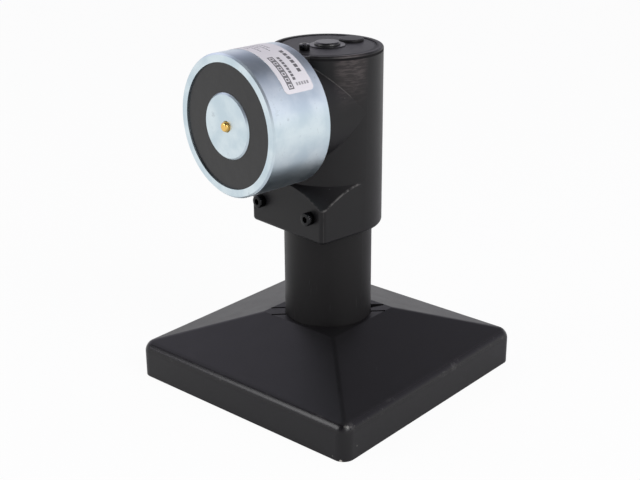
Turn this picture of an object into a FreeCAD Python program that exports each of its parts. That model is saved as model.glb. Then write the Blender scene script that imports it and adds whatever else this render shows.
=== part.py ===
import FreeCAD, Part
import math
import os
import re
import Sketcher

# Driving sizes, in millimetres and degrees: name, value, meaning
SIZES = [
    ("base_side", 150, "side of the square base cover"),
    ("cover_round", 6.4, "rounding of the cover's corners, hips and eaves"),
    ("skirt_height", 19, "height at which the cover's roof planes meet its skirt"),
    ("cover_height", 35.8, "height of the cover's flat top"),
    ("cover_flat_side", 51.6, "side of the cover's flat top"),
    ("cover_wall", 2.5, "wall of the cover"),
    ("flat_radius", 2, "rounding round the cover's flat top"),
    ("cover_hole_gap", 0.15, "clearance between the cover and the column"),
    ("tongue_width", 9, "width of the cover's spring tongues, slot middle to slot middle"),
    ("tongue_slot", 1.5, "width of the slots beside the tongues"),
    ("tongue_length", 8, "how far the slots beside the tongues reach out past the column"),
    ("bent_gap", 5.7, "width at the column of the slot beside the bent tongue"),
    ("rib_spacing", 84, "distance between the two ribs on one side of the cover"),
    ("rib_depth", 6.5, "how far the cover's ribs stand off its skirt"),
    ("rib_thickness", 2, "thickness of the cover's ribs"),
    ("foot_gap", 1, "clearance between the foot flange and the cover"),
    ("foot_thickness", 6, "thickness of the foot flange's plate"),
    ("foot_corner_radius", 5, "rounding of the foot flange's corners"),
    ("socket_wall", 8, "wall of the foot's socket"),
    ("socket_top", 28, "height of the top of the foot's socket"),
    ("socket_gap", 0.1, "clearance between the column and the foot's socket"),
    ("gusset_reach", 58, "distance from the axis to the gussets' outer ends"),
    ("gusset_thickness", 5, "thickness of the foot's gussets"),
    ("gusset_root", 4, "how far the gussets start outside the column, inside the socket"),
    ("gusset_drop", 2, "how far the gussets end under the socket's top"),
    ("fixing_spacing", 110, "distance between the floor fixing holes"),
    ("fixing_radius", 3.5, "radius of the floor fixing holes"),
    ("fixing_sink", 7, "radius of the countersinks of the fixing holes"),
    ("cable_hole_radius", 16, "radius of the cable hole in the foot"),
    ("set_screw_radius", 3, "radius of the foot's set screws"),
    ("set_screw_length", 8, "length of the foot's set screws"),
    ("set_screw_height", 17, "height of the foot's set screws"),
    ("column_radius", 24, "outside radius of the column"),
    ("column_wall", 2, "wall of the column"),
    ("column_insertion", 32.8, "how deep the column goes into the head"),
    ("head_turn", 6.3, "how far the head is turned on the column"),
    ("head_bottom", 90.2, "height of the head's lower face over the floor"),
    ("head_height", 96.3, "height of the head from its lower face to its rim"),
    ("head_wall", 5.3, "how far the head and its boss stand out past the column"),
    ("head_bottom_round", 2, "rounding of the head's lower edge"),
    ("head_top_round", 1.2, "rounding of the head's upper edge"),
    ("block_height", 28.4, "height over the lower face at which the square front ends"),
    ("front_stand", 1.1, "how far the square front stands out past the head's round"),
    ("front_inset", 3.8, "how much narrower the square front's flat is than the head, on each side"),
    ("block_corner_radius", 3, "rounding of the square front's corners"),
    ("facet_angle", 41, "slope of the cut over the square front's corners"),
    ("column_gap", 0.3, "clearance between the column and the head"),
    ("ledge_thickness", 3, "thickness of the ledge that rests on the column"),
    ("ledge_width", 6, "how far that ledge reaches in over the column"),
    ("room_wall", 4.4, "wall round the head's room"),
    ("boss_stand", 2.5, "how far the boss's face stands out past the head's round"),
    ("boss_wall", 5, "thickness of the wall that the magnet is bolted to"),
    ("boss_side_wall", 4.8, "wall round the boss's room"),
    ("bridge_half", 14.5, "half the width of the flat bridge over the boss"),
    ("bridge_depth", 6, "height of the bridge under the lid's tongue"),
    ("bridge_root", 8, "how far the bridge reaches into the head's room"),
    ("rim_wall", 3.5, "thickness of the head's rim round the lid"),
    ("lid_gap", 0.15, "clearance round the lid"),
    ("lid_thickness", 2.5, "thickness of the lid"),
    ("lid_inset", 0.3, "how far the lid lies under the rim"),
    ("lid_tongue_half", 12.4, "half the width of the lid's forward tongue"),
    ("lid_lip_depth", 1.5, "depth of the lip under the lid"),
    ("lid_lip_wall", 1.5, "thickness of that lip"),
    ("post_gap", 2, "distance between the switch's nut and the post for the lid's screw"),
    ("lid_screw_radius", 1.5, "thread radius of the lid's screw"),
    ("lid_screw_length", 8, "length of the lid's screw under its head"),
    ("lid_head_radius", 2.75, "radius of the head of the lid's screw"),
    ("lid_key", 2.5, "width of the socket of the lid's screw"),
    ("screw_round", 0.3, "rounding of the screws' heads"),
    ("post_radius", 4, "radius of the post that takes the lid's screw"),
    ("post_height", 12, "height of that post"),
    ("thread_gap", 0.05, "radial clearance of the threads"),
    ("clamp_screw_radius", 2, "thread radius of the clamp screws"),
    ("clamp_screw_length", 10, "length of the clamp screws under their heads"),
    ("clamp_spacing", 38.4, "distance between the clamp screws"),
    ("clamp_rise", 13.2, "height of the clamp screws over the head's lower face"),
    ("clamp_head_radius", 3.5, "radius of the clamp screws' heads"),
    ("clamp_key", 3, "width of the clamp screws' sockets"),
    ("clamp_nut_width", 7, "width across the flats of the clamp nuts"),
    ("clamp_nut_height", 3.2, "height of the clamp nuts"),
    ("jaw_thickness", 2, "thickness of the clamp jaw's curved web"),
    ("jaw_height", 14.4, "height of the clamp jaw"),
    ("jaw_reach", 4.4, "how far the jaw reaches out past the clamp screws"),
    ("jaw_back", 8, "distance from the axis to the ends of the jaw's lugs"),
    ("jaw_lug_width", 8.2, "width of the jaw's lugs"),
    ("jaw_gap", 0.25, "clearance round the jaw in its pocket"),
    ("boss_drop", 1.4, "how far the boss's top lies under the head's rim"),
    ("magnet_length", 36.5, "length of the magnet"),
    ("magnet_radius", 36.3, "outside radius of the magnet"),
    ("pole_wall", 4.5, "thickness of the magnet's outer pole"),
    ("core_radius", 16.85, "radius of the magnet's core"),
    ("pot_floor", 10, "thickness of the magnet's back"),
    ("pot_chamfer", 0.9, "chamfer on the outer pole"),
    ("pot_back_round", 0.5, "rounding of the magnet's back edge"),
    ("core_chamfer", 0.8, "chamfer on the core"),
    ("ring_inset", 0.9, "how far the potting ring lies under the poles"),
    ("ring_thickness", 2.6, "thickness of the potting ring"),
    ("coil_gap", 0.05, "clearance round the winding's pieces"),
    ("bobbin_wall", 1.2, "wall of the coil's bobbin"),
    ("coil_cover", 0.8, "how far the winding stays under the bobbin's flanges"),
    ("pin_radius", 2.5, "radius of the ejector pin"),
    ("pin_gap", 0.08, "running clearance of the ejector pin"),
    ("pin_chamfer", 0.4, "chamfer on the mouth of the pin's bore"),
    ("pin_travel", 2, "how far the ejector pin stands out and travels"),
    ("pin_step", 24, "distance from the magnet's back to the pin's stop"),
    ("pin_collar_radius", 3.8, "radius of the pin's collar"),
    ("pin_collar", 2, "thickness of the pin's collar"),
    ("spring_wire", 0.3, "wire radius of both springs"),
    ("pin_spring_radius", 3.1, "coil radius of the ejector's spring"),
    ("bolt_radius", 4, "thread radius of the magnet's bolt"),
    ("bolt_length", 16, "length of the magnet's bolt under its head"),
    ("bolt_head_radius", 6.5, "radius of the head of the magnet's bolt"),
    ("bolt_key", 6, "width of the socket of the magnet's bolt"),
    ("washer_thickness", 1.8, "thickness of the spring washer"),
    ("washer_radius", 7.2, "radius of the spring washer"),
    ("bush_gap", 0.5, "clearance between the lead bush's collar and the boss's wall"),
    ("lead_angle", 40, "angle of the lead bush from the top"),
    ("bush_radius", 3, "radius of the lead bush"),
    ("bush_bore", 1.7, "bore of the lead bush"),
    ("bush_collar", 1, "width and thickness of the lead bush's collar"),
    ("bush_end", 0.5, "how far the lead bush ends short of the coil's room"),
    ("label_start", 5.6, "distance from the magnet's back to the label"),
    ("label_width", 18.4, "width of the label"),
    ("label_half_angle", 58, "half the angle that the label wraps"),
    ("label_thickness", 0.15, "thickness of the label"),
    ("label_glue", 0.03, "thickness of the glue under the label"),
    ("label_corner", 2.6, "rounding of the label's corners"),
    ("bezel_radius", 9.5, "radius of the push button's bezel"),
    ("bezel_height", 0.5, "height of the bezel over the lid"),
    ("barrel_radius", 8, "radius of the switch's barrel"),
    ("barrel_gap", 0.05, "clearance of the barrel in the lid and in its nut"),
    ("barrel_length", 26, "length of the switch under the lid"),
    ("button_radius", 6.8, "radius of the push button"),
    ("button_gap", 0.1, "running clearance of the push button"),
    ("button_travel", 1.5, "how far the button travels"),
    ("button_round", 1.3, "rounding of the button's edge"),
    ("button_wall", 1.2, "wall of the button"),
    ("button_skirt", 8, "height of the button"),
    ("stem_radius", 2, "radius of the button's stem"),
    ("switch_floor", 12, "depth of the switch's inner floor under the lid"),
    ("switch_floor_thickness", 1.5, "thickness of that floor"),
    ("switch_wall", 1.4, "wall of the switch's contact chamber"),
    ("contact_drop", 2, "how far the contact bridge hangs under the switch's floor"),
    ("rivet_step", 0.8, "how much thinner the stem is where it holds the contact bridge"),
    ("bridge_thickness", 0.6, "thickness of the contact bridge"),
    ("bridge_width", 5, "width of the contact bridge"),
    ("contact_spacing", 9, "distance between the two contacts"),
    ("contact_reach", 1, "how far the anvils and the bridge overlap past the contacts"),
    ("contact_blade", 0.5, "thickness of the contacts' blades"),
    ("contact_width", 3, "width of the contacts"),
    ("contact_offset", 1.35, "distance from the contacts to the middle of their blades"),
    ("contact_leg", 5, "how far the contacts stand out under the switch"),
    ("switch_base_thickness", 2, "thickness of the switch's base"),
    ("button_spring_radius", 3.3, "coil radius of the button's spring"),
    ("switch_nut_width", 20, "width across the flats of the switch's nut"),
    ("switch_nut_height", 3, "height of the switch's nut"),
    ("plug_gap", 1.3, "distance between the bezel and the blanking plug"),
    ("plug_edge", 1.65, "distance between the blanking plug and the lid's edge"),
    ("plug_rise", 1.3, "height of the blanking plug over the lid"),
    ("plug_rim", 2.7, "how far the blanking plug's cap stands out past its stem"),
    ("plug_barb", 0.4, "how far the barb stands out under the lid"),
    ("plug_lead", 1.8, "length of the barb under the lid"),
    ("plug_wall", 1, "wall of the blanking plug"),
    ("board_back", 14, "distance from the axis to the terminal board's front"),
    ("board_thickness", 1.6, "thickness of the terminal board"),
    ("board_gap", 0.4, "clearance between the terminal board's edges and the head's room"),
    ("board_height", 28, "height of the terminal board"),
    ("rail_depth", 2.5, "how far the rails overlap the board's edges"),
    ("rail_thickness", 1.5, "thickness of the rails that hold the board"),
    ("terminal_pitch", 5, "distance between the terminals"),
    ("terminal_depth", 8, "depth of the terminal block"),
    ("terminal_height", 10, "height of the terminal block"),
    ("terminal_well", 1.8, "radius of the wells over the terminal screws"),
    ("terminal_well_depth", 4, "depth of those wells"),
    ("terminal_screw_radius", 1.7, "radius of the terminal screws"),
    ("terminal_sink", 1.2, "how far the terminal screws lie in their wells"),
    ("terminal_slot", 0.6, "width of the slots in the terminal screws"),
    ("terminal_slot_depth", 1, "depth of the slots in the terminal screws"),
    ("terminal_mouth", 3.2, "width and height of the mouths for the leads"),
    ("terminal_floor", 1.2, "height of the floor under the mouths"),
    ("terminal_back", 2.5, "wall behind the mouths"),
    ("board_ear", 4, "how much narrower the board's upper edge is on each side"),
    ("board_tab", 2, "how far the board's upper edge stands over its rails"),
    ("diode_radius", 1.35, "radius of the suppressor diode"),
    ("diode_half", 2.6, "half the length of the suppressor diode"),
    ("diode_lead", 0.4, "radius of the diode's leads"),
    ("diode_lead_reach", 6, "distance from the diode's middle to its leads' ends"),
    ("diode_lift", 6, "height of the diode over the board's foot"),
    ("overrun", 1, "how far a cut starts and ends outside what it cuts"),
]
TERMINALS = 3
SET_SCREW_SIDES = (45, 165, 285)
TOUCH = 1e-4
HEAD_RADIUS = "(column_radius + head_wall)"
BOSS_REACH = f"({HEAD_RADIUS} + boss_stand)"
FRONT_REACH = f"({HEAD_RADIUS} + front_stand)"
FRONT_HALF = f"({HEAD_RADIUS} - front_inset)"
ROOM_RADIUS = f"({HEAD_RADIUS} - room_wall)"
BOSS_ROOM_RADIUS = f"({HEAD_RADIUS} - boss_side_wall)"
LID_RADIUS = f"({HEAD_RADIUS} - rim_wall - lid_gap)"
LEDGE_RADIUS = "(column_radius - ledge_width)"
SOCKET_RADIUS = "(column_radius + socket_wall)"
TONGUE_REACH = "(column_radius + tongue_length)"
HEAD_TOP = "(head_bottom + head_height)"
BLOCK_TOP = "(head_bottom + block_height)"
CLAMP_HEIGHT = "(head_bottom + clamp_rise)"
MAGNET_HEIGHT = f"({HEAD_TOP} - boss_drop - {HEAD_RADIUS})"
COLUMN_TOP = "(head_bottom + column_insertion)"
CHAMBER_FLOOR = f"({COLUMN_TOP} + ledge_thickness)"
LID_TOP = f"({HEAD_TOP} - lid_inset)"
LID_SEAT = f"({LID_TOP} - lid_thickness)"
JAW_SEAT = f"({FRONT_REACH} - clamp_screw_length - thread_gap)"
NUT_SEAT = f"({JAW_SEAT} + jaw_thickness + jaw_gap)"
JAW_RADIUS = "(column_radius + thread_gap)"
BOLT_SEAT = f"({BOSS_REACH} - boss_wall)"
BOLT_TIP = f"({BOLT_SEAT} - washer_thickness + bolt_length)"
BUTTON_TOP = f"({LID_TOP} + bezel_height + button_travel)"
SWITCH_FLOOR = f"({LID_TOP} - switch_floor)"
SWITCH_FOOT = f"({LID_TOP} - barrel_length)"
POLE_INNER = "(magnet_radius - pole_wall)"
LEAD_OFFSET = f"({BOSS_ROOM_RADIUS} - bush_gap - bush_collar - bush_radius)"
LEAD_X = f"({LEAD_OFFSET} * sin(lead_angle))"
LEAD_RISE = f"({LEAD_OFFSET} * cos(lead_angle))"
LEAD_Z = f"({MAGNET_HEIGHT} + {LEAD_RISE})"
JAW_HALF = "(clamp_spacing / 2 + jaw_reach)"
SCREW_REACH = "(switch_nut_width / 2 + post_radius + post_gap)"
PLUG_RADIUS = f"(({LID_RADIUS} - plug_edge - bezel_radius - plug_gap) / 2)"
PLUG_BACK = f"(bezel_radius + plug_gap + {PLUG_RADIUS})"
PLUG_STEM = f"({PLUG_RADIUS} - plug_rim)"
BOARD_HALF = f"(sqrt({ROOM_RADIUS} ^ 2 - (board_back + board_thickness) ^ 2) - board_gap)"
TERMINAL_FOOT = f"(({CHAMBER_FLOOR} + {SWITCH_FOOT} - contact_leg - terminal_height) / 2)"
UPRIGHT = "rotation(vector(0; 0; 1); 0)"
FORWARD = "rotation(vector(1; 0; 0); 90)"
ALONG_X = "rotation(vector(1; 1; 1); 120)"
HEAD = "placement(vector(0; 0; 0); rotation(vector(0; 0; -1); head_turn))"
WORDS = re.compile(r"\b(" + "|".join(name for name, _, _ in SIZES) + r")\b")

doc = FreeCAD.newDocument("door_holder")
sheet = doc.addObject("Spreadsheet::Sheet", "size")
for row, (name, number, meaning) in enumerate(SIZES, start=1):
    sheet.set(f"A{row}", meaning)
    sheet.set(f"B{row}", str(number))
    sheet.setAlias(f"B{row}", name)
doc.recompute()
pieces = []


def formula(text):
    """The text of a size's formula, with each size named as a cell of the sheet."""
    return WORDS.sub(r"size.\1", str(text))


def value(text):
    number = sheet.evalExpression(formula(text))
    return float(getattr(number, "Value", number))


def bind(item, **sizes):
    for key, text in sizes.items():
        item.setExpression(key, formula(text))
    return item


def place(item, x="0", y="0", z="0", turn=UPRIGHT, on_head=False):
    text = f"placement(vector({x}; {y}; {z}); {turn})"
    if on_head:
        text = f"{HEAD} * {text}"
    item.setExpression("Placement", formula(text))
    return item


def keep(item, label):
    """Names a finished piece, which is written to a file of that name."""
    item.Label = label
    pieces.append(item)
    return item


# Simple solids and how they are joined


def block(name, low, high):
    """A box between two corners, each three formulas."""
    item = doc.addObject("Part::Box", name)
    bind(item, Length=f"({high[0]}) - ({low[0]})", Width=f"({high[1]}) - ({low[1]})",
         Height=f"({high[2]}) - ({low[2]})")
    return place(item, *low)


def cylinder(name, radius, bottom, top, x="0", y="0"):
    item = doc.addObject("Part::Cylinder", name)
    bind(item, Radius=radius, Height=f"({top}) - ({bottom})")
    return place(item, x, y, bottom)


def rod(name, radius, start, end, x="0", z="0"):
    """A cylinder that lies towards the front, from start to end as counted from the column's axis."""
    item = doc.addObject("Part::Cylinder", name)
    bind(item, Radius=radius, Height=f"({end}) - ({start})")
    return place(item, x, f"-({start})", z, FORWARD)


def hexagon(name, width, height):
    """A six-sided prism of the given width across its flats."""
    item = doc.addObject("Part::Prism", name)
    item.Polygon = 6
    return bind(item, Circumradius=f"({width}) / sqrt(3)", Height=height)


def fuse(name, *solids):
    item = doc.addObject("Part::MultiFuse", name)
    item.Shapes = list(solids)
    item.Refine = True
    return item


def cut(name, base, *tools):
    item = doc.addObject("Part::Cut", name)
    item.Base = base
    item.Tool = tools[0] if len(tools) == 1 else fuse(name + "_tools", *tools)
    return item


def common(name, *solids):
    item = doc.addObject("Part::MultiCommon", name)
    item.Shapes = list(solids)
    return item


def group(name, solids):
    item = doc.addObject("Part::Compound", name)
    item.Links = solids
    return item


def rounded(name, base, radius, chosen):
    """Rounds the edges of a solid that the function chosen picks."""
    doc.recompute()
    size = value(radius)
    item = doc.addObject("Part::Fillet", name)
    item.Base = base
    item.Edges = [(i, size, size) for i, edge in enumerate(base.Shape.Edges, start=1) if chosen(edge)]
    return item


# Sketches and the bodies made from them


def outline(sketch, corners):
    """Draws a closed outline whose corners are (x, y), or (x, y, radius) where they are rounded."""
    count = len(corners)
    points = [FreeCAD.Vector(value(c[0]), value(c[1]), 0) for c in corners]
    radii = [value(c[2]) if len(c) == 3 else 0 for c in corners]
    reach, leave, middle = [], [], []
    for i in range(count):
        back = (points[i - 1] - points[i]).normalize()
        ahead = (points[(i + 1) % count] - points[i]).normalize()
        half = back.getAngle(ahead) / 2
        centre = points[i] + (back + ahead).normalize() * (radii[i] / math.sin(half))
        reach.append(points[i] + back * (radii[i] / math.tan(half)))
        leave.append(points[i] + ahead * (radii[i] / math.tan(half)))
        middle.append(centre - (back + ahead).normalize() * radii[i])
    for i in range(count):
        sketch.addGeometry(Part.LineSegment(leave[i], reach[(i + 1) % count]), False)
    for i, corner in enumerate(corners):
        before = (i - 1) % count
        if radii[i]:
            arc = sketch.addGeometry(Part.Arc(reach[i], middle[i], leave[i]), False)
            first, last = (1, 2) if sketch.getPoint(arc, 1).isEqual(reach[i], TOUCH) else (2, 1)
            sketch.addConstraint(Sketcher.Constraint("Tangent", before, 2, arc, first))
            sketch.addConstraint(Sketcher.Constraint("Tangent", i, 1, arc, last))
            radius = sketch.addConstraint(Sketcher.Constraint("Radius", arc, radii[i]))
            sketch.setExpression(f"Constraints[{radius}]", formula(corner[2]))
            held = sketch.addGeometry(Part.Point(points[i]), True)
            sketch.addConstraint(Sketcher.Constraint("PointOnObject", held, 1, before))
            sketch.addConstraint(Sketcher.Constraint("PointOnObject", held, 1, i))
        else:
            held = i
            sketch.addConstraint(Sketcher.Constraint("Coincident", before, 2, i, 1))
        for kind, text, number in zip(("DistanceX", "DistanceY"), corner, points[i]):
            place_of = sketch.addConstraint(Sketcher.Constraint(kind, -1, 1, held, 1, number))
            sketch.setExpression(f"Constraints[{place_of}]", formula(text))


def sketched(name, role):
    """A new body and an empty sketch on one of its own origin planes."""
    body = doc.addObject("PartDesign::Body", name)
    sketch = body.newObject("Sketcher::SketchObject", name + "_sketch")
    plane = next(f for f in body.Origin.OriginFeatures if f.Role == role)
    sketch.AttachmentSupport = (plane, [""])
    sketch.MapMode = "FlatFace"
    return body, sketch


def turned(name, corners):
    """A body turned about its own Z axis from an outline of radius and height."""
    body, sketch = sketched(name, "XZ_Plane")
    outline(sketch, corners)
    feature = body.newObject("PartDesign::Revolution", name + "_turn")
    feature.Profile = sketch
    feature.ReferenceAxis = (sketch, ["V_Axis"])
    feature.Angle = 360
    body.Tip = feature
    return body


def padded(name, corners, height):
    """A body raised along its own Z axis from an outline of x and y."""
    body, sketch = sketched(name, "XY_Plane")
    outline(sketch, corners)
    feature = body.newObject("PartDesign::Pad", name + "_pad")
    feature.Profile = sketch
    bind(feature, Length=height)
    body.Tip = feature
    return body


def square(half, radius):
    return [(x, y, radius) for x, y in ((f"-({half})", f"-({half})"), (half, f"-({half})"),
                                        (half, half), (f"-({half})", half))]


def coil(name, radius, length, turns):
    """A coil spring that stands on its own foot, as a wire swept along a helix."""
    helix = doc.addObject("Part::Helix", name + "_path")
    bind(helix, Radius=radius, Height=f"({length}) - 2 * spring_wire",
         Pitch=f"(({length}) - 2 * spring_wire) / {turns}")
    section = doc.addObject("Part::Circle", name + "_wire")
    bind(section, Radius="spring_wire")
    place(section, radius, "0", "0", FORWARD)
    item = doc.addObject("Part::Sweep", name)
    item.Sections = [section]
    item.Spine = (helix, ["Edge1"])
    item.Solid = True
    item.Frenet = True
    return item


def cap_screw(name, radius, length, head_radius, head_height, key):
    """A socket head cap screw. Its head stands on z = 0 and its shank goes down."""
    shank = cylinder(name + "_shank", radius, f"-({length})", "0")
    head = rounded(name + "_head", cylinder(name + "_blank", head_radius, "0", head_height), "screw_round",
                   lambda e: e.BoundBox.ZMin > value(head_height) - TOUCH)
    socket = place(hexagon(name + "_socket", key, head_height), "0", "0", f"({head_height}) / 2")
    return cut(name, fuse(name + "_solid", shank, head), socket)


# The base: foot flange, its set screws, the cover and the column


def foot_flange():
    half = "(base_side / 2 - cover_wall - foot_gap)"
    plate = padded("foot_plate", square(half, "foot_corner_radius"), "foot_thickness")
    solids = [plate, cylinder("foot_socket", SOCKET_RADIUS, "0", "socket_top")]
    for i in range(4):
        corners = [("column_radius + gusset_root", "foot_thickness - overrun"),
                   ("gusset_reach", "foot_thickness - overrun"), ("gusset_reach", "foot_thickness"),
                   ("column_radius + gusset_root", "socket_top - gusset_drop")]
        gusset = padded(f"gusset_{i + 1}", corners, "gusset_thickness")
        swing = f"placement(vector(0; 0; 0); rotation(vector(0; 0; 1); {90 * i}))"
        upright = f"placement(vector(0; gusset_thickness / 2; 0); {FORWARD})"
        gusset.setExpression("Placement", formula(f"{swing} * {upright}"))
        solids.append(gusset)
    holes = [cylinder("foot_bore", "column_radius + socket_gap", "foot_thickness", "socket_top + overrun"),
             cylinder("cable_hole", "cable_hole_radius", "-overrun", "foot_thickness + overrun")]
    for i, (x, y) in enumerate(((1, 1), (-1, 1), (-1, -1), (1, -1)), start=1):
        spot = (f"{x} * fixing_spacing / 2", f"{y} * fixing_spacing / 2")
        holes.append(cylinder(f"fixing_hole_{i}", "fixing_radius", "-overrun", "foot_thickness + overrun",
                              *spot))
        sink = doc.addObject("Part::Cone", f"fixing_sink_{i}")
        bind(sink, Radius1="fixing_radius", Radius2="fixing_sink + overrun",
             Height="fixing_sink - fixing_radius + overrun")
        holes.append(place(sink, *spot, "foot_thickness - fixing_sink + fixing_radius"))
    for i, side in enumerate(SET_SCREW_SIDES, start=1):
        hole = doc.addObject("Part::Cylinder", f"set_screw_hole_{i}")
        bind(hole, Radius="set_screw_radius + thread_gap", Height=SOCKET_RADIUS)
        holes.append(around_column(hole, side, "column_radius - overrun"))
    keep(cut("foot_flange", fuse("foot_solid", *solids), *holes), "foot_flange")


def around_column(item, side, distance):
    """Points a piece outwards at the set screws' height, at an angle and a distance from the axis."""
    swing = f"placement(vector(0; 0; set_screw_height); rotation(vector(0; 0; 1); {side}))"
    out = f"placement(vector({distance}; 0; 0); rotation(vector(0; 1; 0); 90))"
    item.setExpression("Placement", formula(f"{swing} * {out}"))
    return item


def foot_set_screws():
    screws = []
    for i, side in enumerate(SET_SCREW_SIDES, start=1):
        rod_part = cylinder(f"set_screw_rod_{i}", "set_screw_radius", "0", "set_screw_length")
        socket = place(hexagon(f"set_screw_socket_{i}", "set_screw_radius", "set_screw_length"),
                       "0", "0", "set_screw_length / 2")
        screw = cut(f"set_screw_{i}", rod_part, socket)
        screws.append(around_column(screw, side, "column_radius + thread_gap"))
    keep(group("foot_set_screws", screws), "foot_set_screws")


def hood(name, half, skirt, flat_half, top, radius):
    """A pyramid roof over a square skirt: one section, raised both ways, and what the two share."""
    section = [(f"-({half})", "0"), (half, "0"), (half, skirt), (flat_half, top),
               (f"-({flat_half})", top), (f"-({half})", skirt)]
    length = f"2 * ({half})"
    first = place(padded(name + "_first", section, length), "0", half, "0", FORWARD)
    second = place(padded(name + "_second", section, length), f"-({half})", "0", "0", ALONG_X)
    both = common(name + "_both", first, second)
    height = value(top)
    return rounded(name + "_shell", both, radius,
                   lambda e: e.BoundBox.ZMin < height - TOUCH and e.BoundBox.ZMax > TOUCH)


def base_cover():
    top = value("cover_height")
    outside = hood("cover_outside", "base_side / 2", "skirt_height", "cover_flat_side / 2", "cover_height",
                   "cover_round")
    outside = rounded("cover_outside_round", outside, "flat_radius",
                      lambda e: e.BoundBox.ZMin > top - TOUCH)
    slope = "((cover_height - skirt_height) / (base_side / 2 - cover_flat_side / 2))"
    inside = hood("cover_inside", "base_side / 2 - cover_wall",
                  f"skirt_height - cover_wall + cover_wall * {slope}", "cover_flat_side / 2",
                  "cover_height - cover_wall", "cover_round - cover_wall")
    shell = cut("cover_shell", outside, inside)
    ribs = []
    for i in range(8):
        side = "-1" if i % 2 else "1"
        low = ("base_side / 2 - cover_wall - rib_depth", f"{side} * rib_spacing / 2 - rib_thickness / 2",
               "foot_thickness")
        high = ("base_side / 2 - cover_wall / 2", f"{side} * rib_spacing / 2 + rib_thickness / 2",
                "skirt_height - rib_thickness / 2")
        rib = block(f"cover_rib_{i + 1}", low, high)
        swing = f"placement(vector(0; 0; 0); rotation(vector(0; 0; 1); {90 * (i // 2)}))"
        corner = f"placement(vector({low[0]}; {low[1]}; {low[2]}); {UPRIGHT})"
        rib.setExpression("Placement", formula(f"{swing} * {corner}"))
        ribs.append(rib)
    under = "cover_height - 2 * cover_wall"
    over = "cover_height + overrun"
    holes = [cylinder("cover_hole", "column_radius + cover_hole_gap", under, over)]
    for i, (turn, side) in enumerate(((225, -1), (225, 1), (45, -1)), start=1):
        slot = block(f"tongue_slot_{i}", ("0", "0", under), (TONGUE_REACH, "tongue_slot", over))
        across = f"{side} * tongue_width / 2 - tongue_slot / 2"
        holes.append(swung(slot, turn, across, under))
    wedge = padded("bent_tongue_slot", [
        ("column_radius - overrun", "0"), (TONGUE_REACH, "-tongue_slot / 2"),
        (TONGUE_REACH, "-3 * tongue_slot / 2"), ("column_radius - overrun", "-bent_gap")],
        f"({over}) - ({under})")
    holes.append(swung(wedge, 45, "tongue_width / 2 + tongue_slot / 2", under))
    keep(cut("base_cover", fuse("cover_solid", shell, *ribs), *holes), "base_cover")


def swung(item, turn, across, height):
    """Turns a cut about the column, with its edge the given distance off the radius."""
    swing = f"placement(vector(0; 0; 0); rotation(vector(0; 0; 1); {turn}))"
    shift = f"placement(vector(0; {across}; {height}); {UPRIGHT})"
    item.setExpression("Placement", formula(f"{swing} * {shift}"))
    return item


def column_tube():
    outer = cylinder("column_outer", "column_radius", "foot_thickness", COLUMN_TOP)
    inner = cylinder("column_inner", "column_radius - column_wall", "foot_thickness - overrun",
                     f"{COLUMN_TOP} + overrun")
    keep(cut("column_tube", outer, inner), "column_tube")


# The head: housing, lid and clamp


def front_block():
    """The square front of the head's foot, cut by a cone where it runs out into the round."""
    body, sketch = sketched("block_body", "XY_Plane")
    radius = value(HEAD_RADIUS)
    corner = value("block_corner_radius")
    half = value(FRONT_HALF)
    reach = value(FRONT_REACH)
    centre = FreeCAD.Vector(half, corner - reach, 0)
    lean = math.atan2(centre.y, centre.x) + math.acos((radius - corner) / centre.Length)
    outward = FreeCAD.Vector(math.cos(lean), math.sin(lean), 0)
    near = centre + outward * corner
    far = outward * radius

    def arc(x, y, size, start, end):
        round_one = Part.Circle(FreeCAD.Vector(x, y, 0), FreeCAD.Vector(0, 0, 1), size)
        return Part.ArcOfCircle(round_one, start, end)

    def mirrored(point):
        return FreeCAD.Vector(-point.x, point.y, 0)

    shapes = [
        arc(0, 0, radius, lean, math.pi - lean),
        Part.LineSegment(mirrored(far), mirrored(near)),
        arc(-half, corner - reach, corner, math.pi - lean, 1.5 * math.pi),
        Part.LineSegment(FreeCAD.Vector(-half, -reach, 0), FreeCAD.Vector(half, -reach, 0)),
        arc(half, corner - reach, corner, 1.5 * math.pi, 2 * math.pi + lean),
        Part.LineSegment(near, far),
    ]
    for shape in shapes:
        sketch.addGeometry(shape, False)
    sketch.addConstraint(Sketcher.Constraint("Coincident", 0, 3, -1, 1))
    for i in range(6):
        sketch.addConstraint(Sketcher.Constraint("Tangent", i, 2, (i + 1) % 6, 1))
    sketch.addConstraint(Sketcher.Constraint("Symmetric", 3, 1, 3, 2, -2))
    sketch.addConstraint(Sketcher.Constraint("Equal", 2, 4))
    limits = ((Sketcher.Constraint("Radius", 0, radius), HEAD_RADIUS),
              (Sketcher.Constraint("DistanceY", 3, 2, -1, 1, reach), FRONT_REACH),
              (Sketcher.Constraint("DistanceX", -1, 1, 3, 2, half), FRONT_HALF),
              (Sketcher.Constraint("Radius", 2, corner), "block_corner_radius"))
    for limit, text in limits:
        index = sketch.addConstraint(limit)
        sketch.setExpression(f"Constraints[{index}]", formula(text))
    pad = body.newObject("PartDesign::Pad", "block_pad")
    pad.Profile = sketch
    bind(pad, Length="block_height")
    body.Tip = pad
    place(body, "0", "0", "head_bottom")
    low = value("head_bottom") + TOUCH
    soft = rounded("block_soft", body, "head_bottom_round", lambda e: e.BoundBox.ZMax < low)
    cone = doc.addObject("Part::Cone", "block_cone")
    bind(cone, Radius1=f"{HEAD_RADIUS} + block_height / tan(facet_angle)", Radius2=HEAD_RADIUS,
         Height="block_height")
    place(cone, "0", "0", "head_bottom")
    return common("block", soft, cone)


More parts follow.
